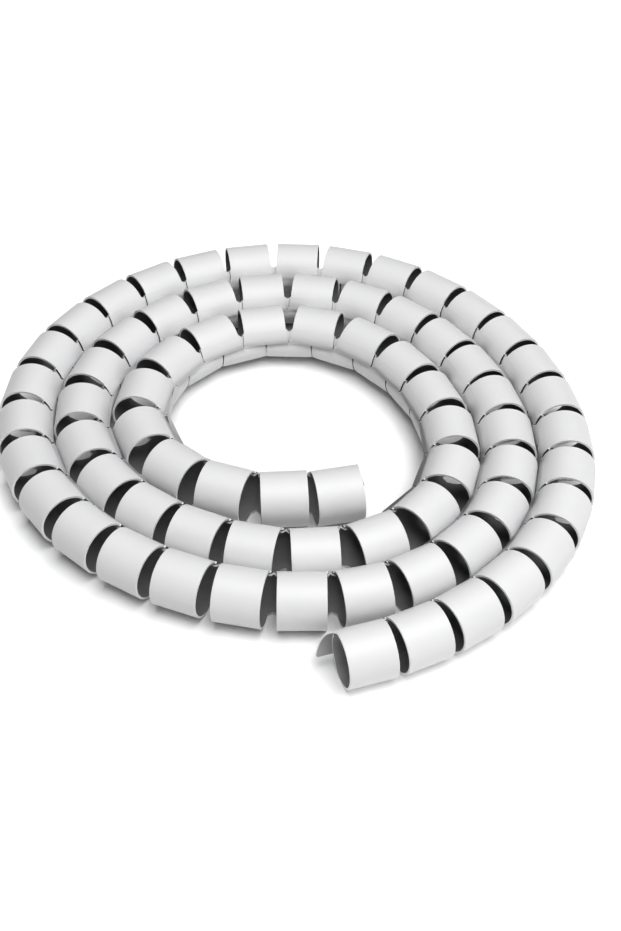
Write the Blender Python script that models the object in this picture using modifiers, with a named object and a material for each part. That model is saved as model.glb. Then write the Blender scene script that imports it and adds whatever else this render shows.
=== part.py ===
"""Flexible cable wrap: one slotted plastic tube, coiled flat in three turns on the floor.

The wrap is a single strip-like sheet rolled into a tube with an overlap. Wide slots run
round the tube and divide it into rigid rings. On the side that faces the middle of the coil
the rings stay joined by two bands that lap over each other: the inner band lies inside the
tube, and the outer band closes over it and has a narrow cut in the middle of each ring.
"""
import math

import bmesh
import bpy
from mathutils import Vector

MM = 0.001
FULL_TURN = 360.0

# Tube: outside size, wall and the space between the two lapping bands
TUBE_DIAMETER = 22.0 * MM
WALL = 0.9 * MM
LAP_CLEARANCE = 0.3 * MM

# Rings along the tube: their spacing on the joined side, and the widths of the cuts
RING_COUNT = 72
RING_PITCH = 20.36 * MM
SLOT_WIDTH = 1.8 * MM
SLOT_LEDGE_WIDTH = 2.2 * MM
SLOT_TAIL_WIDTH = 1.4 * MM
BAND_CUT_WIDTH = 0.6 * MM

# Angles round the section, in degrees: 0 is the outside of the bend, 90 the top
SLOT_TAPER_START = 40.0
LAP_INNER_EDGE = 140.0
SLOT_END = 165.0
BAND_CUT_START = 172.0
LAP_OUTER_EDGE = 213.0
FOOT_MIDDLE = 270.0
FOOT_FACET_HALF = 14.0
SIDE_FACETS = 7

# Free ends: how far the outer band stands past the first and the last ring as a flap
START_FLAP = 4.5 * MM
END_FLAP = 6.5 * MM
FLAP_START = 115.0

# Coil: a flat spiral from the inner free end, clockwise seen from above
COIL_START_RADIUS = 49.6 * MM
TURN_CLEARANCE = 1.25 * MM
COIL_START_DIRECTION = -61.8

# The hand-laid coil is not quite round: it is oval, and a little three-cornered
OVAL = 3.8 * MM
OVAL_DIRECTION = -46.2
CORNERS = 1.7 * MM
CORNERS_DIRECTION = -51.1

# The first turn is drawn in, and both free ends straighten out of the spiral
FIRST_TURN_DRAW = 15.2 * MM
FIRST_TURN_FADE = 42.1
START_OPENING = 7.4 * MM
START_STRAIGHTENING = 27.5
END_OPENING = 5.3 * MM
END_STRAIGHTENING = 36.0
PATH_STEP = 0.5

# The rings are pushed along a little unevenly, in waves over the length of the wrap
LONG_PUSH = -1.4 * MM
LONG_PUSH_WAVES = 0.5
WIDE_PUSH = -2.8 * MM
WIDE_PUSH_WAVES = 1.0
MIDDLE_PUSH = -2.3 * MM
MIDDLE_PUSH_WAVES = 2.0
SHORT_PUSH = -1.0 * MM
SHORT_PUSH_WAVES = 4.0

PLASTIC_COLOUR = (0.83, 0.83, 0.83, 1.0)
PLASTIC_ROUGHNESS = 0.38
SMOOTH_ANGLE = 40.0

WALL_MIDDLE_RADIUS = (TUBE_DIAMETER - WALL) / 2
INNER_BAND_RADIUS = WALL_MIDDLE_RADIUS - WALL - LAP_CLEARANCE
TURN_SPACING = TUBE_DIAMETER + TURN_CLEARANCE


def remove_scene_objects():
    """Start from an empty scene."""
    for item in list(bpy.data.objects):
        bpy.data.objects.remove(item, do_unlink=True)


def spiral_end_angle():
    """Angle of the last ring on a plain spiral, where the joined side keeps its length."""
    length = RING_PITCH * (RING_COUNT - 1)
    start = COIL_START_RADIUS - INNER_BAND_RADIUS
    turns = (math.sqrt(start ** 2 + length * TURN_SPACING / math.pi) - start) / TURN_SPACING
    return turns * FULL_TURN


def coil_point(angle, end_angle):
    """Centre of the tube at an angle in degrees along the spiral."""
    heading = math.radians(COIL_START_DIRECTION - angle)
    radius = COIL_START_RADIUS + TURN_SPACING * angle / FULL_TURN
    radius -= FIRST_TURN_DRAW * math.exp(-angle / FIRST_TURN_FADE)
    radius += OVAL * math.cos(2 * (heading - math.radians(OVAL_DIRECTION)))
    radius += CORNERS * math.cos(3 * (heading - math.radians(CORNERS_DIRECTION)))
    start_part = max(0.0, 1 - angle / START_STRAIGHTENING)
    end_part = max(0.0, 1 - (end_angle - angle) / END_STRAIGHTENING)
    radius += START_OPENING * start_part ** 2 + END_OPENING * end_part ** 2
    return Vector((radius * math.cos(heading), radius * math.sin(heading), TUBE_DIAMETER / 2))


def coil_frame(angle, end_angle):
    """Tube centre, its direction of travel and the direction to the outside of the bend."""
    ahead = coil_point(angle + PATH_STEP, end_angle)
    behind = coil_point(angle - PATH_STEP, end_angle)
    travel = (ahead - behind).normalized()
    outside = Vector((-travel.y, travel.x, 0.0))
    return coil_point(angle, end_angle), travel, outside


def joined_side(frame):
    """The point of a frame where the rings hang together, on the inner band."""
    centre, travel, outside = frame
    return centre - outside * INNER_BAND_RADIUS


def ring_distance(index):
    """Distance of a ring along the joined side: a ring pitch each, pushed along in waves."""
    share = index / (RING_COUNT - 1)
    distance = RING_PITCH * index
    distance += LONG_PUSH * math.sin(math.tau * LONG_PUSH_WAVES * share)
    distance += WIDE_PUSH * math.sin(math.tau * WIDE_PUSH_WAVES * share)
    distance += MIDDLE_PUSH * math.sin(math.tau * MIDDLE_PUSH_WAVES * share)
    distance += SHORT_PUSH * math.sin(math.tau * SHORT_PUSH_WAVES * share)
    return distance


def ring_frames():
    """One frame for the middle of each ring, at its distance along the joined side."""
    end_angle = spiral_end_angle()
    angle = 0.0
    walked = 0.0
    frame = coil_frame(angle, end_angle)
    frames = [frame]
    while len(frames) < RING_COUNT:
        next_frame = coil_frame(angle + PATH_STEP, end_angle)
        step = (joined_side(next_frame) - joined_side(frame)).length
        wanted = ring_distance(len(frames))
        if walked + step >= wanted:
            share = (wanted - walked) / step
            frames.append(coil_frame(angle + share * PATH_STEP, end_angle))
        walked += step
        angle += PATH_STEP
        frame = next_frame
    return frames


def section_angles():
    """Rows of the sheet from its inner free edge: the lapping band, the ring, the outer band."""
    foot_start = FOOT_MIDDLE - FOOT_FACET_HALF
    foot_end = FOOT_MIDDLE + FOOT_FACET_HALF
    tail_start = FULL_TURN + LAP_INNER_EDGE
    step = (tail_start - foot_end) / SIDE_FACETS
    inner_band = [LAP_INNER_EDGE, BAND_CUT_START, LAP_OUTER_EDGE, foot_start]
    ring = [foot_end + step * i for i in range(SIDE_FACETS + 1)] + [FULL_TURN + SLOT_END]
    cut_middle = (BAND_CUT_START + LAP_OUTER_EDGE) / 2
    outer_band = [FULL_TURN + angle for angle in (BAND_CUT_START, cut_middle, LAP_OUTER_EDGE)]
    return inner_band, ring, outer_band


def sheet_radius(angle):
    """The sheet's distance from the tube's centre: the inner band lies inside the outer one."""
    return INNER_BAND_RADIUS if angle <= LAP_OUTER_EDGE else WALL_MIDDLE_RADIUS


def slot_width(angle):
    """A slot's width: it opens towards the lap, to a ledge at the inner band's free edge."""
    ledge = FULL_TURN + LAP_INNER_EDGE
    if angle > ledge:
        return SLOT_TAIL_WIDTH
    taper_start = FULL_TURN + SLOT_TAPER_START
    share = max(0.0, (angle - taper_start) / (ledge - taper_start))
    return SLOT_WIDTH + (SLOT_LEDGE_WIDTH - SLOT_WIDTH) * share


def flap_reach(angle):
    """Share of a free end's flap that stands out at this angle, from the top down."""
    return max(0.0, (angle - FULL_TURN - FLAP_START) / (LAP_OUTER_EDGE - FLAP_START))


def sheet_point(frame, along, angle):
    """A point of the sheet at a distance along the ring and an angle round the section."""
    centre, travel, outside = frame
    turn = math.radians(angle)
    across = outside * math.cos(turn) + Vector((0.0, 0.0, math.sin(turn)))
    return centre + travel * along + across * sheet_radius(angle)


def ring_edge(angle, flap):
    """From a ring's middle to its edge, at a slot or at a free end with its flap."""
    if flap:
        return (RING_PITCH - SLOT_WIDTH) / 2 + flap * flap_reach(angle)
    return (RING_PITCH - slot_width(angle)) / 2


def add_edges(sheet, frame, angle, start_flap, end_flap):
    """Points of a ring's two edges at one angle."""
    start = sheet.verts.new(sheet_point(frame, -ring_edge(angle, start_flap), angle))
    finish = sheet.verts.new(sheet_point(frame, ring_edge(angle, end_flap), angle))
    return start, finish


def add_ledges(sheet, frame, ledge, edges, start_flap, end_flap):
    """A row at the ledge, from edge to edge: a slot steps in from its own width to its tail's."""
    tail = (RING_PITCH - SLOT_TAIL_WIDTH) / 2
    start, finish = edges
    row = [start, finish]
    if not start_flap:
        row = [sheet.verts.new(sheet_point(frame, -tail, ledge))] + row
    if not end_flap:
        row = row + [sheet.verts.new(sheet_point(frame, tail, ledge))]
    return row


def add_ring(sheet, frame, start_flap, end_flap):
    """Add one ring with its stretch of both bands, and return its two edges as rows."""
    inner_band, ring, outer_band = section_angles()
    left = {}
    right = {}
    for angle in inner_band + ring + outer_band:
        left[angle], right[angle] = add_edges(sheet, frame, angle, start_flap, end_flap)
    cut = {}
    for angle in [ring[-1]] + outer_band:
        near = sheet.verts.new(sheet_point(frame, -BAND_CUT_WIDTH / 2, angle))
        far = sheet.verts.new(sheet_point(frame, BAND_CUT_WIDTH / 2, angle))
        cut[angle] = (near, far)
    rows = inner_band + ring
    for low, high in zip(rows[:-2], rows[1:-1]):
        sheet.faces.new((left[low], right[low], right[high], left[high]))
    low, high = rows[-2:]
    ledge_row = add_ledges(sheet, frame, low, (left[low], right[low]), start_flap, end_flap)
    near, far = cut[high]
    sheet.faces.new(ledge_row + [right[high], far, near, left[high]])
    low, high = ring[-1], outer_band[0]
    sheet.faces.new((cut[low][0], cut[low][1], cut[high][1], cut[high][0]))
    band_rows = [ring[-1]] + outer_band
    for low, high in zip(band_rows[:-1], band_rows[1:]):
        sheet.faces.new((left[low], cut[low][0], cut[high][0], left[high]))
        sheet.faces.new((cut[low][1], right[low], right[high], cut[high][1]))
    return left, right


def build_sheet():
    """The rolled sheet, as one open surface in the middle of the wall."""
    sheet = bmesh.new()
    inner_band, ring, outer_band = section_angles()
    band_rows = [ring[-1]] + outer_band
    joins = list(zip(inner_band[:-1], inner_band[1:])) + list(zip(band_rows[:-1], band_rows[1:]))
    frames = ring_frames()
    before = None
    for index, frame in enumerate(frames):
        start_flap = START_FLAP if index == 0 else 0.0
        end_flap = END_FLAP if index == RING_COUNT - 1 else 0.0
        left, right = add_ring(sheet, frame, start_flap, end_flap)
        if before:
            for low, high in joins:
                sheet.faces.new((before[low], left[low], left[high], before[high]))
        before = right
    return sheet


def set_on_floor(sheet):
    """Move the wall's outside to the floor and the coil's middle over the origin."""
    xs = [vert.co.x for vert in sheet.verts]
    ys = [vert.co.y for vert in sheet.verts]
    zs = [vert.co.z for vert in sheet.verts]
    middle = Vector(((min(xs) + max(xs)) / 2, (min(ys) + max(ys)) / 2, min(zs) - WALL / 2))
    bmesh.ops.translate(sheet, verts=sheet.verts, vec=-middle)


def plastic():
    """Satin white plastic."""
    material = bpy.data.materials.new("white_plastic")
    material.use_nodes = True
    shader = material.node_tree.nodes["Principled BSDF"]
    shader.inputs["Base Color"].default_value = PLASTIC_COLOUR
    shader.inputs["Roughness"].default_value = PLASTIC_ROUGHNESS
    shader.inputs["Metallic"].default_value = 0.0
    return material


def make_cable_wrap(collection):
    """The wrap: the rolled sheet with its wall thickness."""
    sheet = build_sheet()
    set_on_floor(sheet)
    mesh = bpy.data.meshes.new("cable_wrap")
    sheet.to_mesh(mesh)
    sheet.free()
    mesh.shade_smooth()
    mesh.set_sharp_from_angle(angle=math.radians(SMOOTH_ANGLE))
    mesh.materials.append(plastic())
    wrap = bpy.data.objects.new("cable_wrap", mesh)
    collection.objects.link(wrap)
    wall = wrap.modifiers.new("wall", 'SOLIDIFY')
    wall.thickness = WALL
    wall.offset = 0.0
    wall.use_even_offset = True


remove_scene_objects()
wrap_parts = bpy.data.collections.new("spiral_cable_wrap")
bpy.context.scene.collection.children.link(wrap_parts)
make_cable_wrap(wrap_parts)
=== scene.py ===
"""Looks for the coiled cable wrap: fine rings round the coil, white plastic, floor and light."""
import math

import bmesh
import bpy
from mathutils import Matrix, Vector


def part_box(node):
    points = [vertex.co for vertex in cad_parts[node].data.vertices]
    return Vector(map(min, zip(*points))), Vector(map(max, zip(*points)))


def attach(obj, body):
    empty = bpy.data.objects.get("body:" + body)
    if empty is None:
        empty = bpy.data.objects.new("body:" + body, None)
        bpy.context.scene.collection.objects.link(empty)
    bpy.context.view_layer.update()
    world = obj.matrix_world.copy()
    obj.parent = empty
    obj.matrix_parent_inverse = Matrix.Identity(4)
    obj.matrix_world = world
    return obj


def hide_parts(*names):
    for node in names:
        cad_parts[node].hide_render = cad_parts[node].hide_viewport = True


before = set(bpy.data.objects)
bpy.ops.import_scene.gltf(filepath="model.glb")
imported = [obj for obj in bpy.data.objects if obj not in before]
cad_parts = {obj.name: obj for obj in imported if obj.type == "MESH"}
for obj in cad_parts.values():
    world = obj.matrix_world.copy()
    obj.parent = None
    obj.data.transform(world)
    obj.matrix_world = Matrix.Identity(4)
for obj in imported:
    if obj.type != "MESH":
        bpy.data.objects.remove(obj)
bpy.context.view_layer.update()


# The wrap. One length of white plastic sheet, rolled into a tube with an overlap and cut
# into stiff rings by slots. The rings hang together on the side that faces the middle of the
# coil, where an outer band closes over an inner one and is cut in the middle of each ring.
MM = 0.001
TUBE_DIAMETER = 22.0 * MM
WALL = 0.9 * MM
LAP_CLEARANCE = 0.3 * MM
RING_COUNT = 72
RING_PITCH = 20.36 * MM
SLOT_WIDTH = 1.8 * MM
SLOT_LEDGE_WIDTH = 2.2 * MM
SLOT_TAIL_WIDTH = 1.4 * MM
# The cuts in the outer band are wider than the solid's 0.6 mm, so that they show
BAND_CUT_WIDTH = 0.9 * MM
START_FLAP = 4.5 * MM
END_FLAP = 6.5 * MM

# Angles round the section, in degrees: 0 is the outside of the bend, 90 the top. The sheet
# starts at its inner free edge and goes round by more than a full turn.
LAP_INNER_EDGE = 140.0
LAP_OUTER_EDGE = 213.0
SLOT_START = 256.0
SLOT_TAPER_START = 400.0
SLOT_LEDGE = 500.0
SLOT_END = 525.0
BAND_CUT_START = 532.0
SHEET_END = 573.0
FLAP_START = 475.0
PLATE_START = 526.0
PLATE_END = 548.0
ROW_STEP = 6.2

# Roundings of the corners of slots and cuts, and of every edge of the sheet. A corner or an
# edge is rounded where the faces on its two sides meet at more than the angle, in degrees.
CORNER_ANGLE = 40.0
EDGE_ANGLE = 50.0
CORNER_SEGMENTS = 3
EDGE_SEGMENTS = 2
SLOT_END_ROUNDING = 0.4 * MM
LEDGE_ROUNDING = 0.2 * MM
TAIL_END_ROUNDING = 0.5 * MM
CUT_END_ROUNDING = 0.25 * MM
CUT_MOUTH_ROUNDING = 1.4 * MM
EDGE_ROUNDING = 0.2 * MM
WELD_DISTANCE = 0.03 * MM

# Each face's painted light and shade: 0 on the sheet's two sides, where the normal stands up
# by more than the slope. Painted shade makes the inner band's free edge, within a few degrees
# of the sheet's start, a little dark, and the walls of the tails and band cuts nearly black,
# as narrow cuts look. The other cut edges get a painted highlight.
SHEET_FACE_SLOPE = 0.9
BAND_EDGE_REACH = 5.0
BAND_EDGE_PAINTED_SHADE = -0.4
NARROW_CUTS_START = SLOT_LEDGE + 1.0
NARROW_CUTS_END = SHEET_END - 2.0

WALL_MIDDLE_RADIUS = (TUBE_DIAMETER - WALL) / 2
LAP_DEPTH = WALL + LAP_CLEARANCE
INNER_BAND_RADIUS = WALL_MIDDLE_RADIUS - LAP_DEPTH
HALF_RING = (RING_PITCH - SLOT_WIDTH) / 2
HALF_TAIL = (RING_PITCH - SLOT_TAIL_WIDTH) / 2
HALF_CUT = BAND_CUT_WIDTH / 2

# The flat spiral: it starts at the inner free end and runs clockwise seen from above. It is a
# little oval and three-cornered, and its free ends straighten.
COIL_START_RADIUS = 49.6 * MM
TURN_SPACING = TUBE_DIAMETER + 1.25 * MM
COIL_START_DIRECTION = -61.8
OVAL = 3.8 * MM
OVAL_DIRECTION = -46.2
CORNERS = 1.7 * MM
CORNERS_DIRECTION = -51.1
FIRST_TURN_DRAW = 15.2 * MM
FIRST_TURN_FADE = 42.1
START_OPENING = 7.4 * MM
START_STRAIGHTENING = 27.5
END_OPENING = 5.3 * MM
END_STRAIGHTENING = 36.0
PATH_STEP = 0.5

# The rings are pushed along a little unevenly, in waves over the length of the wrap
PUSH_WAVES = ((0.5, -1.4 * MM), (1.0, -2.8 * MM), (2.0, -2.3 * MM), (4.0, -1.0 * MM))
UP = Vector((0.0, 0.0, 1.0))


def spiral_end_angle():
    """Angle of the last ring on a plain spiral, where the joined side keeps its length."""
    length = RING_PITCH * (RING_COUNT - 1)
    start = COIL_START_RADIUS - INNER_BAND_RADIUS
    turns = (math.sqrt(start ** 2 + length * TURN_SPACING / math.pi) - start) / TURN_SPACING
    return turns * 360


def coil_point(angle):
    """Centre of the tube at an angle in degrees along the spiral."""
    heading = math.radians(COIL_START_DIRECTION - angle)
    radius = COIL_START_RADIUS + TURN_SPACING * angle / 360
    radius -= FIRST_TURN_DRAW * math.exp(-angle / FIRST_TURN_FADE)
    radius += OVAL * math.cos(2 * (heading - math.radians(OVAL_DIRECTION)))
    radius += CORNERS * math.cos(3 * (heading - math.radians(CORNERS_DIRECTION)))
    start_part = max(0.0, 1 - angle / START_STRAIGHTENING)
    end_part = max(0.0, 1 - (coil_end - angle) / END_STRAIGHTENING)
    radius += START_OPENING * start_part ** 2 + END_OPENING * end_part ** 2
    return Vector((radius * math.cos(heading), radius * math.sin(heading), TUBE_DIAMETER / 2))


def coil_frame(angle):
    """Centre and direction of travel at an angle along the spiral."""
    travel = coil_point(angle + PATH_STEP) - coil_point(angle - PATH_STEP)
    return coil_point(angle), travel.normalized()


def joined_point(place):
    """The point of a frame where its ring hangs together with the next."""
    centre, travel = place
    return centre - UP.cross(travel) * INNER_BAND_RADIUS


def ring_distance(index):
    """Distance of a ring along the joined side: a ring pitch each, pushed along in waves."""
    share = index / (RING_COUNT - 1)
    pushes = [push * math.sin(math.tau * waves * share) for waves, push in PUSH_WAVES]
    return RING_PITCH * index + sum(pushes)


def ring_places():
    """Centre and travel of each ring, at its distance along the joined side."""
    angle = 0.0
    walked = 0.0
    place = coil_frame(angle)
    places = [place]
    while len(places) < RING_COUNT:
        further = coil_frame(angle + PATH_STEP)
        step = (joined_point(further) - joined_point(place)).length
        wanted = ring_distance(len(places))
        if walked + step >= wanted:
            places.append(coil_frame(angle + (wanted - walked) / step * PATH_STEP))
        walked += step
        angle += PATH_STEP
        place = further
    return places


def slot_place(before, after):
    """Centre and travel of the slot between two rings. The travel is longer or shorter than
    1 where the rings stand further apart or closer than a ring pitch."""
    first = joined_point(before)
    second = joined_point(after)
    outside = UP.cross((second - first).normalized())
    return (first + second) / 2 + outside * INNER_BAND_RADIUS, (second - first) / RING_PITCH


def coil_places(rings):
    """Places along the whole wrap: free end, ring, slot, ring, slot, and so on."""
    first, travel = rings[0]
    places = [(first - travel * RING_PITCH / 2, travel)]
    for before, after in zip(rings[:-1], rings[1:]):
        places += [before, slot_place(before, after)]
    last, travel = rings[-1]
    return places + [rings[-1], (last + travel * RING_PITCH / 2, travel)]


def place_points(places):
    """A mesh of points with the direction of travel, for the node tree to read."""
    mesh = bpy.data.meshes.new("coil_places")
    mesh.from_pydata([place[0] for place in places], [], [])
    travel = mesh.attributes.new("travel", 'FLOAT_VECTOR', 'POINT')
    travel.data.foreach_set("vector", [value for place in places for value in place[1]])
    points = bpy.data.objects.new("coil_places", mesh)
    bpy.context.scene.collection.objects.link(points)
    return points


def rows_between(start, end):
    """Evenly spread row angles, both ends included."""
    count = max(1, round((end - start) / ROW_STEP))
    return [start + (end - start) * i / count for i in range(count + 1)]


def lap_lift(angle):
    """Height of the sheet's middle over the tube's own wall: the inner band lies deeper."""
    share = min(1.0, max(0.0, (angle - LAP_OUTER_EDGE) / (SLOT_START - LAP_OUTER_EDGE)))
    return -LAP_DEPTH * (1 - share * share * (3 - 2 * share))


def slot_edge(angle):
    """Half a ring's width at a slot, which opens up to the ledge and ends in a narrow tail."""
    if angle > SLOT_LEDGE:
        return HALF_TAIL
    share = (angle - SLOT_TAPER_START) / (SLOT_LEDGE - SLOT_TAPER_START)
    width = SLOT_WIDTH + (SLOT_LEDGE_WIDTH - SLOT_WIDTH) * max(0.0, share)
    return (RING_PITCH - width) / 2


def flap(angle, length):
    """How far a free end's flap stands out at this angle, from the top down."""
    return length * max(0.0, (angle - FLAP_START) / (SHEET_END - FLAP_START))


def free_edge(angle, length):
    """Half a ring's width at a free end, with its flap."""
    return HALF_RING + flap(angle, length)


def unrolled_ring(name, start_flap=None, end_flap=None):
    """One ring unrolled flat: X along the tube, Y round it, Z out of it. Ends can be free."""
    cell = bmesh.new()
    corners = {}

    def corner(along, angle):
        key = (round(along / MM, 4), round(angle, 3))
        if key not in corners:
            arc = math.radians(angle) * WALL_MIDDLE_RADIUS
            corners[key] = cell.verts.new((along, arc, lap_lift(angle)))
        return corners[key]

    def strip(columns_low, columns_high, low, high):
        """Faces between two rows that have the same count of columns."""
        for i in range(len(columns_low) - 1):
            ring = [(columns_low[i], low), (columns_low[i + 1], low)]
            ring += [(columns_high[i + 1], high), (columns_high[i], high)]
            cell.faces.new([corner(*point) for point in ring])

    def band_columns(angle, middle):
        """Columns of a band: free edge or slot middle, hinge, cut, hinge, slot middle."""
        left = [-RING_PITCH / 2, -HALF_TAIL]
        right = [HALF_TAIL, RING_PITCH / 2]
        if start_flap is not None:
            left = [-free_edge(angle, start_flap)]
        if end_flap is not None:
            right = [free_edge(angle, end_flap)]
        return left + middle + right

    def body_columns(angle, at_ledge=False):
        """The two edges of the ring's own stretch between its slots."""
        edge = HALF_TAIL if at_ledge else slot_edge(angle)
        left = edge if start_flap is None else free_edge(angle, start_flap)
        right = edge if end_flap is None else free_edge(angle, end_flap)
        return [-left, right]

    inner_rows = rows_between(LAP_INNER_EDGE, SLOT_START)
    for low, high in zip(inner_rows[:-2], inner_rows[1:-1]):
        strip(band_columns(low, []), band_columns(high, []), low, high)
    low, high = inner_rows[-2:]
    body = body_columns(high)
    columns = band_columns(low, [])
    left = [columns[0]] if start_flap is not None else columns[:2]
    right = [columns[-1]] if end_flap is not None else columns[-2:]
    face = [(value, low) for value in left + right]
    face += [(value, high) for value in reversed(band_columns(high, [])) if value > body[1]]
    face += [(body[1], high), (body[0], high)]
    face += [(value, high) for value in reversed(band_columns(high, [])) if value < body[0]]
    cell.faces.new([corner(*point) for point in face])
    ring_rows = rows_between(SLOT_START, SLOT_LEDGE)
    for low, high in zip(ring_rows[:-1], ring_rows[1:]):
        strip(body_columns(low), body_columns(high), low, high)
    tail_rows = rows_between(SLOT_LEDGE, SLOT_END)
    low, high = tail_rows[:2]
    wide = body_columns(low, at_ledge=True)
    narrow = body_columns(low)
    face = [(wide[0], low), (narrow[0], low), (narrow[1], low), (wide[1], low)]
    face = [point for i, point in enumerate(face) if point not in face[:i]]
    high_columns = body_columns(high)
    face += [(high_columns[1], high), (high_columns[0], high)]
    cell.faces.new([corner(*point) for point in face])
    for low, high in zip(tail_rows[1:-1], tail_rows[2:]):
        strip(body_columns(low), body_columns(high), low, high)
    band_rows = [SLOT_END] + rows_between(BAND_CUT_START, SHEET_END)
    cut = [-HALF_CUT, HALF_CUT]
    low, high = band_rows[:2]
    face = [(value, low) for value in band_columns(low, [])]
    face += [(value, high) for value in reversed(band_columns(high, cut))]
    cell.faces.new([corner(*point) for point in face])
    for low, high in zip(band_rows[1:-1], band_rows[2:]):
        columns_low = band_columns(low, cut)
        columns_high = band_columns(high, cut)
        split = columns_low.index(-HALF_CUT) + 1
        strip(columns_low[:split], columns_high[:split], low, high)
        strip(columns_low[split:], columns_high[split:], low, high)
    return thick_cell(cell, name)


def thick_cell(cell, name):
    """Give the flat sheet its wall, round its corners and edges, and leave its joins open."""
    for vert in cell.verts:
        vert.co.z -= WALL / 2
    made = bmesh.ops.extrude_face_region(cell, geom=cell.faces[:], use_keep_orig=True)
    top = [item for item in made["geom"] if isinstance(item, bmesh.types.BMVert)]
    bmesh.ops.translate(cell, verts=top, vec=(0.0, 0.0, WALL))
    bmesh.ops.recalc_face_normals(cell, faces=cell.faces[:])
    roundings = {
        SLOT_START: SLOT_END_ROUNDING,
        SLOT_LEDGE: LEDGE_ROUNDING,
        SLOT_END: TAIL_END_ROUNDING,
        BAND_CUT_START: CUT_END_ROUNDING,
        SHEET_END: CUT_MOUTH_ROUNDING,
    }
    for angle, rounding in roundings.items():
        arc = math.radians(angle) * WALL_MIDDLE_RADIUS
        edges = [edge for edge in cell.edges if is_corner(edge, arc)]
        bmesh.ops.bevel(cell, geom=edges, offset=rounding, offset_type='OFFSET',
                        segments=CORNER_SEGMENTS, profile=0.5, affect='EDGES',
                        clamp_overlap=True)
    joins = [face for face in cell.faces if is_join(face)]
    bmesh.ops.delete(cell, geom=joins, context='FACES_ONLY')
    rims = [edge for edge in cell.edges
            if len(edge.link_faces) == 2 and edge.calc_face_angle() > math.radians(EDGE_ANGLE)
            and abs(edge.verts[0].co.z - edge.verts[1].co.z) < WALL / 2]
    bmesh.ops.bevel(cell, geom=rims, offset=EDGE_ROUNDING, offset_type='OFFSET',
                    segments=EDGE_SEGMENTS, profile=0.5, affect='EDGES', clamp_overlap=True)
    mesh = bpy.data.meshes.new(name)
    cell.to_mesh(mesh)
    cell.free()
    # Painted light and shade for each face, read by the material
    painted_light_shade = mesh.attributes.new("painted_light_shade", 'FLOAT', 'FACE')
    for face, item in zip(mesh.polygons, painted_light_shade.data):
        item.value = face_painted_light_shade(face)
    depth = mesh.attributes.new("depth", 'FLOAT', 'POINT')
    for vert, item in zip(mesh.vertices, depth.data):
        middle = lap_lift(math.degrees(vert.co.y / WALL_MIDDLE_RADIUS))
        item.value = 0.5 - (vert.co.z - middle) / WALL
    ring = bpy.data.objects.new(name, mesh)
    bpy.context.scene.collection.objects.link(ring)
    return ring


def face_painted_light_shade(face):
    """Painted light and shade of a face: a painted highlight of 1 on the cut edges, down to
    painted shade of -1 in the narrow cuts of the lap.
    """
    angle = math.degrees(face.center.y / WALL_MIDDLE_RADIUS)
    if abs(face.normal.z) > SHEET_FACE_SLOPE:
        return 0.0
    if angle < LAP_INNER_EDGE + BAND_EDGE_REACH:
        return BAND_EDGE_PAINTED_SHADE
    in_lap = NARROW_CUTS_START < angle < NARROW_CUTS_END
    return -1.0 if in_lap and abs(face.center.x) < RING_PITCH / 2 else 1.0


def is_corner(edge, arc):
    """True for an upright edge of the wall at this row, where two sides of a cut meet."""
    first, second = edge.verts
    upright = abs(first.co.z - second.co.z) > WALL / 2
    here = abs(first.co.y - arc) < WELD_DISTANCE
    joined = abs(abs(first.co.x) - RING_PITCH / 2) < WELD_DISTANCE
    if not upright or not here or joined or len(edge.link_faces) != 2:
        return False
    return edge.calc_face_angle() > math.radians(CORNER_ANGLE)


def is_join(face):
    """True for a face of the wall in the middle of a slot, where the next ring joins on."""
    return all(abs(abs(vert.co.x) - RING_PITCH / 2) < WELD_DISTANCE for vert in face.verts)


def add_step(tree, kind, sockets, **settings):
    """Add a node with its settings, and link or set its inputs."""
    node = tree.nodes.new(kind)
    for key, value in settings.items():
        setattr(node, key, value)
    for key, value in sockets.items():
        if isinstance(value, bpy.types.NodeSocket):
            tree.links.new(value, node.inputs[key])
        else:
            node.inputs[key].default_value = value
    return node


def calc(tree, operation, first, second=0.0, third=0.0):
    """A number worked out from up to three others."""
    sockets = {0: first, 1: second, 2: third}
    return add_step(tree, 'ShaderNodeMath', sockets, operation=operation).outputs[0]


def scaled(tree, vector, factor):
    """A vector times a number."""
    sockets = {0: vector, 'Scale': factor}
    return add_step(tree, 'ShaderNodeVectorMath', sockets, operation='SCALE').outputs[0]


def total(tree, first, second):
    """The sum of two vectors."""
    sockets = {0: first, 1: second}
    return add_step(tree, 'ShaderNodeVectorMath', sockets, operation='ADD').outputs[0]


def sampled(tree, places, value, index):
    """A value read from one of the places along the wrap."""
    sockets = {'Geometry': places, 'Value': value, 'Index': index}
    node = add_step(tree, 'GeometryNodeSampleIndex', sockets, data_type='FLOAT_VECTOR')
    return node.outputs[0]


def rolled_point(tree, centre, travel, along, across, height):
    """A point of the rolled sheet, from a place and its distances along, across and up."""
    direction = add_step(tree, 'ShaderNodeVectorMath', {0: travel}, operation='NORMALIZE')
    outside = add_step(tree, 'ShaderNodeVectorMath', {0: tuple(UP), 1: direction.outputs[0]},
                       operation='CROSS_PRODUCT').outputs[0]
    point = total(tree, centre, scaled(tree, travel, along))
    point = total(tree, point, scaled(tree, outside, across))
    lift = add_step(tree, 'ShaderNodeCombineXYZ', {'Z': height}).outputs[0]
    return total(tree, point, lift)


WRAP_INPUTS = [
    ("Places", 'NodeSocketObject'),
    ("First Ring", 'NodeSocketObject'),
    ("Middle Ring", 'NodeSocketObject'),
    ("Last Ring", 'NodeSocketObject'),
    ("Ring Count", 'NodeSocketInt'),
    ("Ring Pitch", 'NodeSocketFloat'),
    ("Ring Half Width", 'NodeSocketFloat'),
    ("Wall Middle Radius", 'NodeSocketFloat'),
    ("Plate Start Angle", 'NodeSocketFloat'),
    ("Plate End Angle", 'NodeSocketFloat'),
    ("Weld Distance", 'NodeSocketFloat'),
    ("Material", 'NodeSocketMaterial'),
]


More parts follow.
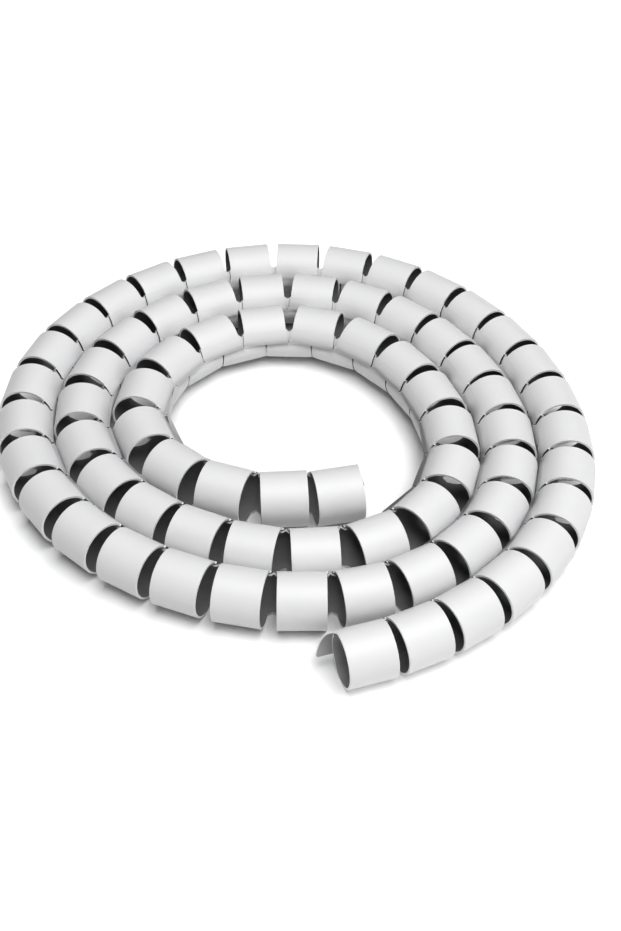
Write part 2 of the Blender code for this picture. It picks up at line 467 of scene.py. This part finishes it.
def wrap_tree():
    """Rings laid one after the other and rolled round the coil, joined from slot to slot."""
    tree = bpy.data.node_groups.new("rings_round_coil", 'GeometryNodeTree')
    for name, kind in WRAP_INPUTS:
        tree.interface.new_socket(name, in_out='INPUT', socket_type=kind)
    tree.interface.new_socket("Geometry", in_out='OUTPUT', socket_type='NodeSocketGeometry')
    given = tree.nodes.new('NodeGroupInput').outputs
    kinds = tree.nodes.new('GeometryNodeJoinGeometry')
    for name in ("Last Ring", "Middle Ring", "First Ring"):
        source = add_step(tree, 'GeometryNodeObjectInfo', {'Object': given[name]})
        one = add_step(tree, 'GeometryNodeGeometryToInstance',
                       {'Geometry': source.outputs['Geometry']})
        tree.links.new(one.outputs[0], kinds.inputs[0])
    index = tree.nodes.new('GeometryNodeInputIndex').outputs[0]
    last_index = calc(tree, 'SUBTRACT', given["Ring Count"], 1.0)
    after_first = calc(tree, 'GREATER_THAN', index, 0.5)
    is_last = calc(tree, 'GREATER_THAN', index, calc(tree, 'SUBTRACT', last_index, 0.5))
    points = add_step(tree, 'GeometryNodePoints', {'Count': given["Ring Count"]})
    laid = add_step(tree, 'GeometryNodeInstanceOnPoints', {
        'Points': points.outputs[0], 'Instance': kinds.outputs[0], 'Pick Instance': True,
        'Instance Index': calc(tree, 'ADD', after_first, is_last)})
    counted = add_step(tree, 'GeometryNodeStoreNamedAttribute', {
        'Geometry': laid.outputs[0], 'Name': "ring", 'Value': index},
        data_type='INT', domain='INSTANCE')
    loose = add_step(tree, 'GeometryNodeRealizeInstances', {'Geometry': counted.outputs[0]})

    flat = add_step(tree, 'ShaderNodeSeparateXYZ',
                    {0: tree.nodes.new('GeometryNodeInputPosition').outputs[0]}).outputs
    angle = calc(tree, 'DIVIDE', flat[1], given["Wall Middle Radius"])
    radius = calc(tree, 'ADD', flat[2], given["Wall Middle Radius"])
    kept = add_step(tree, 'GeometryNodeStoreNamedAttribute', {
        'Geometry': loose.outputs[0], 'Name': "around", 'Value': angle},
        data_type='FLOAT', domain='POINT')
    kept = add_step(tree, 'GeometryNodeStoreNamedAttribute', {
        'Geometry': kept.outputs[0], 'Name': "along", 'Value': flat[0]},
        data_type='FLOAT', domain='POINT')

    side = calc(tree, 'SIGN', flat[0])
    ring = add_step(tree, 'GeometryNodeInputNamedAttribute', {'Name': "ring"},
                    data_type='INT').outputs[0]
    travel_field = add_step(tree, 'GeometryNodeInputNamedAttribute', {'Name': "travel"},
                            data_type='FLOAT_VECTOR').outputs[0]
    place_field = tree.nodes.new('GeometryNodeInputPosition').outputs[0]
    places = add_step(tree, 'GeometryNodeObjectInfo',
                      {'Object': given["Places"]}).outputs['Geometry']
    ring_index = calc(tree, 'MULTIPLY_ADD', ring, 2.0, 1.0)
    slot_index = calc(tree, 'ADD', ring_index, side)
    across = calc(tree, 'MULTIPLY', radius, calc(tree, 'COSINE', angle))
    height = calc(tree, 'MULTIPLY', radius, calc(tree, 'SINE', angle))
    half_pitch = calc(tree, 'MULTIPLY', given["Ring Pitch"], 0.5)
    from_slot = calc(tree, 'SUBTRACT', flat[0], calc(tree, 'MULTIPLY', side, half_pitch))
    on_ring = rolled_point(tree, sampled(tree, places, place_field, ring_index),
                           sampled(tree, places, travel_field, ring_index),
                           flat[0], across, height)
    on_slot = rolled_point(tree, sampled(tree, places, place_field, slot_index),
                           sampled(tree, places, travel_field, slot_index),
                           from_slot, across, height)
    hinge = add_step(tree, 'ShaderNodeMapRange', {
        'Value': calc(tree, 'ABSOLUTE', flat[0]), 'From Min': given["Ring Half Width"],
        'From Max': half_pitch})
    plate = add_step(tree, 'ShaderNodeMapRange', {
        'Value': angle, 'From Min': given["Plate Start Angle"],
        'From Max': given["Plate End Angle"]}, interpolation_type='SMOOTHSTEP')
    share = calc(tree, 'MAXIMUM', hinge.outputs[0], plate.outputs[0])
    rolled = add_step(tree, 'ShaderNodeMix', {0: share, 4: on_ring, 5: on_slot},
                      data_type='VECTOR').outputs[1]
    placed = add_step(tree, 'GeometryNodeSetPosition',
                      {'Geometry': kept.outputs[0], 'Position': rolled})
    turned = add_step(tree, 'GeometryNodeFlipFaces', {0: placed.outputs[0]})
    welded = add_step(tree, 'GeometryNodeMergeByDistance', {
        'Geometry': turned.outputs[0], 'Distance': given["Weld Distance"]})
    smooth = add_step(tree, 'GeometryNodeSetShadeSmooth', {'Geometry': welded.outputs[0]})
    real = add_step(tree, 'GeometryNodeRealizeInstances', {'Geometry': smooth.outputs[0]})
    finished = add_step(tree, 'GeometryNodeSetMaterial', {
        'Geometry': real.outputs[0], 'Material': given["Material"]})
    result = tree.nodes.new('NodeGroupOutput')
    tree.links.new(finished.outputs[0], result.inputs[0])
    return tree


# The plastic: off-white outside, with painted shade greying the inside where less light gets
OUTER_COLOUR = (0.66, 0.66, 0.665)
INSIDE_PAINTED_SHADE_COLOUR = (0.24, 0.24, 0.24)
END_INSIDE_PAINTED_SHADE_COLOUR = (0.36, 0.36, 0.36)
# Painted highlight on the cut edges, and painted shade nearly black in the narrow cuts
EDGE_PAINTED_HIGHLIGHT = (0.85, 0.85, 0.85)
CUT_PAINTED_SHADE = (0.04, 0.04, 0.04)
INSIDE_DEPTH = 0.80
OUTER_ROUGHNESS = 0.38
LINE_ROUGHNESS = 0.14
INNER_ROUGHNESS = 0.60
SHINE = 0.35

# Faint drawing lines along the tube, a few to the radian round it, and a faint cloud on the
# colour
LINES_AROUND = 12.0
LINE_SCALE = 2.2
LINE_STRENGTH = 0.25
LINE_HEIGHT = 0.08 * MM
CLOUD_SCALE = 55.0
CLOUD_STRENGTH = 0.05


def white_plastic():
    """Satin white plastic: smooth outside with faint drawing lines, duller inside, where painted
    shade greys it. The two end rings get less painted shade inside than the rest, because
    light falls in at their ends. Cut edges get a painted highlight, narrow cuts painted shade."""
    material = bpy.data.materials.new("satin_white_plastic")
    material.use_nodes = True
    tree = material.node_tree
    shader = tree.nodes["Principled BSDF"]
    depth = add_step(tree, 'ShaderNodeAttribute', {}, attribute_name="depth").outputs['Fac']
    around = add_step(tree, 'ShaderNodeAttribute', {}, attribute_name="around").outputs['Fac']
    along = add_step(tree, 'ShaderNodeAttribute', {}, attribute_name="along").outputs['Fac']
    ring = add_step(tree, 'ShaderNodeAttribute', {}, attribute_name="ring").outputs['Fac']
    # The inner face: painted shade greys its colour, and it is duller
    inside = add_step(tree, 'ShaderNodeMapRange', {
        'Value': depth, 'From Min': INSIDE_DEPTH, 'From Max': 1.0}).outputs[0]
    from_middle_ring = calc(tree, 'ABSOLUTE', calc(tree, 'SUBTRACT', ring, RING_COUNT / 2 - 0.5))
    end_ring = calc(tree, 'GREATER_THAN', from_middle_ring, RING_COUNT / 2 - 1.0)
    sheet_place = add_step(tree, 'ShaderNodeCombineXYZ', {
        'X': calc(tree, 'MULTIPLY', along, 1 / RING_PITCH),
        'Y': calc(tree, 'MULTIPLY', around, LINES_AROUND), 'Z': ring}).outputs[0]
    lines = add_step(tree, 'ShaderNodeTexNoise', {
        'Vector': sheet_place, 'Scale': LINE_SCALE, 'Detail': 2.0, 'Roughness': 0.5})
    lines = lines.outputs['Fac']
    cloud = add_step(tree, 'ShaderNodeTexNoise', {
        'Vector': add_step(tree, 'ShaderNodeTexCoord', {}).outputs['Object'],
        'Scale': CLOUD_SCALE, 'Detail': 2.0, 'Roughness': 0.5}).outputs['Fac']
    cloud = calc(tree, 'SUBTRACT', cloud, 0.5)
    shade = calc(tree, 'MULTIPLY_ADD', cloud, CLOUD_STRENGTH, 1.0)
    outer = add_step(tree, 'ShaderNodeVectorMath', {0: OUTER_COLOUR, 'Scale': shade},
                     operation='SCALE').outputs[0]
    # Painted shade inside the tube, a little lighter in the two end rings
    inner = add_step(tree, 'ShaderNodeMix', {
        0: end_ring, 6: INSIDE_PAINTED_SHADE_COLOUR + (1.0,), 7: END_INSIDE_PAINTED_SHADE_COLOUR + (1.0,)},
        data_type='RGBA').outputs[2]
    colour = add_step(tree, 'ShaderNodeMix', {0: inside, 6: outer, 7: inner},
                      data_type='RGBA').outputs[2]
    # Painted highlight on the cut edges, painted shade in the narrow cuts and at the inner
    # band's free edge
    painted_light_shade = add_step(tree, 'ShaderNodeAttribute', {}, attribute_name="painted_light_shade").outputs['Fac']
    colour = add_step(tree, 'ShaderNodeMix', {
        0: calc(tree, 'MAXIMUM', painted_light_shade, 0.0), 6: colour, 7: EDGE_PAINTED_HIGHLIGHT + (1.0,)},
        data_type='RGBA').outputs[2]
    painted_shade_share = calc(tree, 'MAXIMUM', calc(tree, 'MULTIPLY', painted_light_shade, -1.0), 0.0)
    colour = add_step(tree, 'ShaderNodeMix', {0: painted_shade_share, 6: colour, 7: CUT_PAINTED_SHADE + (1.0,)},
                      data_type='RGBA').outputs[2]
    tree.links.new(colour, shader.inputs["Base Color"])
    roughness = calc(tree, 'MULTIPLY_ADD', lines, LINE_ROUGHNESS, OUTER_ROUGHNESS)
    roughness = add_step(tree, 'ShaderNodeMix', {
        0: inside, 2: roughness, 3: INNER_ROUGHNESS}).outputs[0]
    tree.links.new(roughness, shader.inputs["Roughness"])
    relief = add_step(tree, 'ShaderNodeBump', {
        'Height': lines, 'Strength': LINE_STRENGTH, 'Distance': LINE_HEIGHT}).outputs[0]
    tree.links.new(relief, shader.inputs["Normal"])
    shader.inputs["Specular IOR Level"].default_value = SHINE
    return material


coil_end = spiral_end_angle()
places_object = place_points(coil_places(ring_places()))
first_ring = unrolled_ring("first_ring", start_flap=START_FLAP)
middle_ring = unrolled_ring("middle_ring")
last_ring = unrolled_ring("last_ring", end_flap=END_FLAP)
WRAP_VALUES = {
    "Places": places_object,
    "First Ring": first_ring,
    "Middle Ring": middle_ring,
    "Last Ring": last_ring,
    "Ring Count": RING_COUNT,
    "Ring Pitch": RING_PITCH,
    "Ring Half Width": HALF_TAIL,
    "Wall Middle Radius": WALL_MIDDLE_RADIUS,
    "Plate Start Angle": math.radians(PLATE_START),
    "Plate End Angle": math.radians(PLATE_END),
    "Weld Distance": WELD_DISTANCE,
    "Material": white_plastic(),
}
builder = bpy.data.objects.new("wrap_builder", bpy.data.meshes.new("wrap_builder"))
bpy.context.scene.collection.objects.link(builder)
rings_modifier = builder.modifiers.new("rings", 'NODES')
rings_modifier.node_group = wrap_tree()
for socket in rings_modifier.node_group.interface.items_tree:
    if socket.in_out == 'INPUT':
        rings_modifier[socket.identifier] = WRAP_VALUES[socket.name]
bpy.context.view_layer.update()
evaluated = builder.evaluated_get(bpy.context.evaluated_depsgraph_get())
wrap_mesh = bpy.data.meshes.new_from_object(evaluated)
wrap_mesh.name = "spiral_wrap"
wrap = bpy.data.objects.new("spiral_wrap", wrap_mesh)
bpy.context.scene.collection.objects.link(wrap)
for helper in (builder, places_object, first_ring, middle_ring, last_ring):
    bpy.data.objects.remove(helper, do_unlink=True)

# The coil's middle goes where the solid's is
cad_low, cad_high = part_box("cable_wrap")
xs = [vert.co.x for vert in wrap_mesh.vertices]
ys = [vert.co.y for vert in wrap_mesh.vertices]
zs = [vert.co.z for vert in wrap_mesh.vertices]
shift = Vector(((cad_low.x + cad_high.x - min(xs) - max(xs)) / 2,
                (cad_low.y + cad_high.y - min(ys) - max(ys)) / 2, -min(zs)))
for vert in wrap_mesh.vertices:
    vert.co += shift
shading = wrap.modifiers.new("even_shading", 'WEIGHTED_NORMAL')
shading.weight = 100
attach(wrap, "root")
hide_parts("cable_wrap")


# The floor: a plain white sheet under the coil. Round the coil it gives off a faint painted
# light that lifts the coil's shadow there, and under the coil it gives off none, so it is in the
# shade.
FLOOR_SIDE = 6.0
FLOOR_COLOUR = (0.85, 0.85, 0.85, 1.0)
FLOOR_ROUGHNESS = 0.8
FLOOR_PAINTED_LIGHT_COLOUR = (1.0, 1.0, 1.0, 1.0)
FLOOR_PAINTED_LIGHT_START = 0.110
FLOOR_PAINTED_LIGHT_FULL = 0.135
FLOOR_PAINTED_LIGHT = 0.30
floor_mesh = bpy.data.meshes.new("floor")
half_side = FLOOR_SIDE / 2
floor_corners = [(-half_side, -half_side, 0), (half_side, -half_side, 0),
                 (half_side, half_side, 0), (-half_side, half_side, 0)]
floor_mesh.from_pydata(floor_corners, [], [(0, 1, 2, 3)])
floor = bpy.data.objects.new("floor", floor_mesh)
bpy.context.scene.collection.objects.link(floor)
floor_material = bpy.data.materials.new("white_floor")
floor_material.use_nodes = True
floor_shader = floor_material.node_tree.nodes["Principled BSDF"]
floor_shader.inputs["Base Color"].default_value = FLOOR_COLOUR
floor_shader.inputs["Roughness"].default_value = FLOOR_ROUGHNESS
floor_shader.inputs["Emission Color"].default_value = FLOOR_PAINTED_LIGHT_COLOUR
floor_place = add_step(floor_material.node_tree, 'ShaderNodeTexCoord', {}).outputs['Object']
from_middle = add_step(floor_material.node_tree, 'ShaderNodeVectorMath', {0: floor_place},
                       operation='LENGTH').outputs['Value']
# Painted light: the floor gives off light from just outside the coil outward, lifting the coil's
# shadow
floor_painted_light = add_step(floor_material.node_tree, 'ShaderNodeMapRange', {
    'Value': from_middle, 'From Min': FLOOR_PAINTED_LIGHT_START, 'From Max': FLOOR_PAINTED_LIGHT_FULL, 'To Max': FLOOR_PAINTED_LIGHT})
floor_material.node_tree.links.new(floor_painted_light.outputs[0], floor_shader.inputs["Emission Strength"])
floor_mesh.materials.append(floor_material)


# The light: a large soft panel over the coil, a weaker one in front of it, and a dim room. A
# low gamma deepens the shade in the slots, as in the photograph.
TOP_PANEL_PLACE = (0.25, -0.3, 1.3)
TOP_PANEL_SIDE = 1.2
TOP_PANEL_POWER = 27.5
FRONT_PANEL_PLACE = (0.5, -1.3, 0.9)
FRONT_PANEL_SIDE = 0.6
FRONT_PANEL_POWER = 1.8
ROOM_COLOUR = (1.0, 1.0, 1.0, 1.0)
ROOM_STRENGTH = 0.07
PICTURE_GAMMA = 0.87


def soft_panel(name, place, side, power):
    """A square area light that faces the coil."""
    light = bpy.data.lights.new(name, 'AREA')
    light.shape = 'SQUARE'
    light.size = side
    light.energy = power
    panel = bpy.data.objects.new(name, light)
    panel.location = place
    panel.rotation_euler = (-Vector(place)).to_track_quat('-Z', 'Y').to_euler()
    bpy.context.scene.collection.objects.link(panel)


soft_panel("top_panel", TOP_PANEL_PLACE, TOP_PANEL_SIDE, TOP_PANEL_POWER)
soft_panel("front_panel", FRONT_PANEL_PLACE, FRONT_PANEL_SIDE, FRONT_PANEL_POWER)
world = bpy.data.worlds.new("room")
world.use_nodes = True
world.node_tree.nodes["Background"].inputs["Color"].default_value = ROOM_COLOUR
world.node_tree.nodes["Background"].inputs["Strength"].default_value = ROOM_STRENGTH
bpy.context.scene.world = world
bpy.context.scene.view_settings.view_transform = 'Standard'
bpy.context.scene.view_settings.gamma = PICTURE_GAMMA


# The camera looks down at the coil from the side of its free ends, about 0.7 m away and 42
# degrees above the floor.
CAMERA_ELEVATION = math.radians(42.2354)
CAMERA_DISTANCE = 0.71849
CAMERA_TARGET = Vector((0.007233, -0.003618, 0.0))
CAMERA_LENS = 67.9
CAMERA_SENSOR = 36.0
back = Vector((0.0, -math.cos(CAMERA_ELEVATION), math.sin(CAMERA_ELEVATION)))
camera_data = bpy.data.cameras.new("camera")
camera_data.sensor_width = CAMERA_SENSOR
camera_data.lens = CAMERA_LENS
camera_data.clip_start = 0.05
camera_data.clip_end = 50.0
camera = bpy.data.objects.new("camera", camera_data)
camera.location = CAMERA_TARGET + back * CAMERA_DISTANCE
camera.rotation_euler = (math.radians(90) - CAMERA_ELEVATION, 0.0, 0.0)
bpy.context.scene.collection.objects.link(camera)
bpy.context.scene.camera = camera
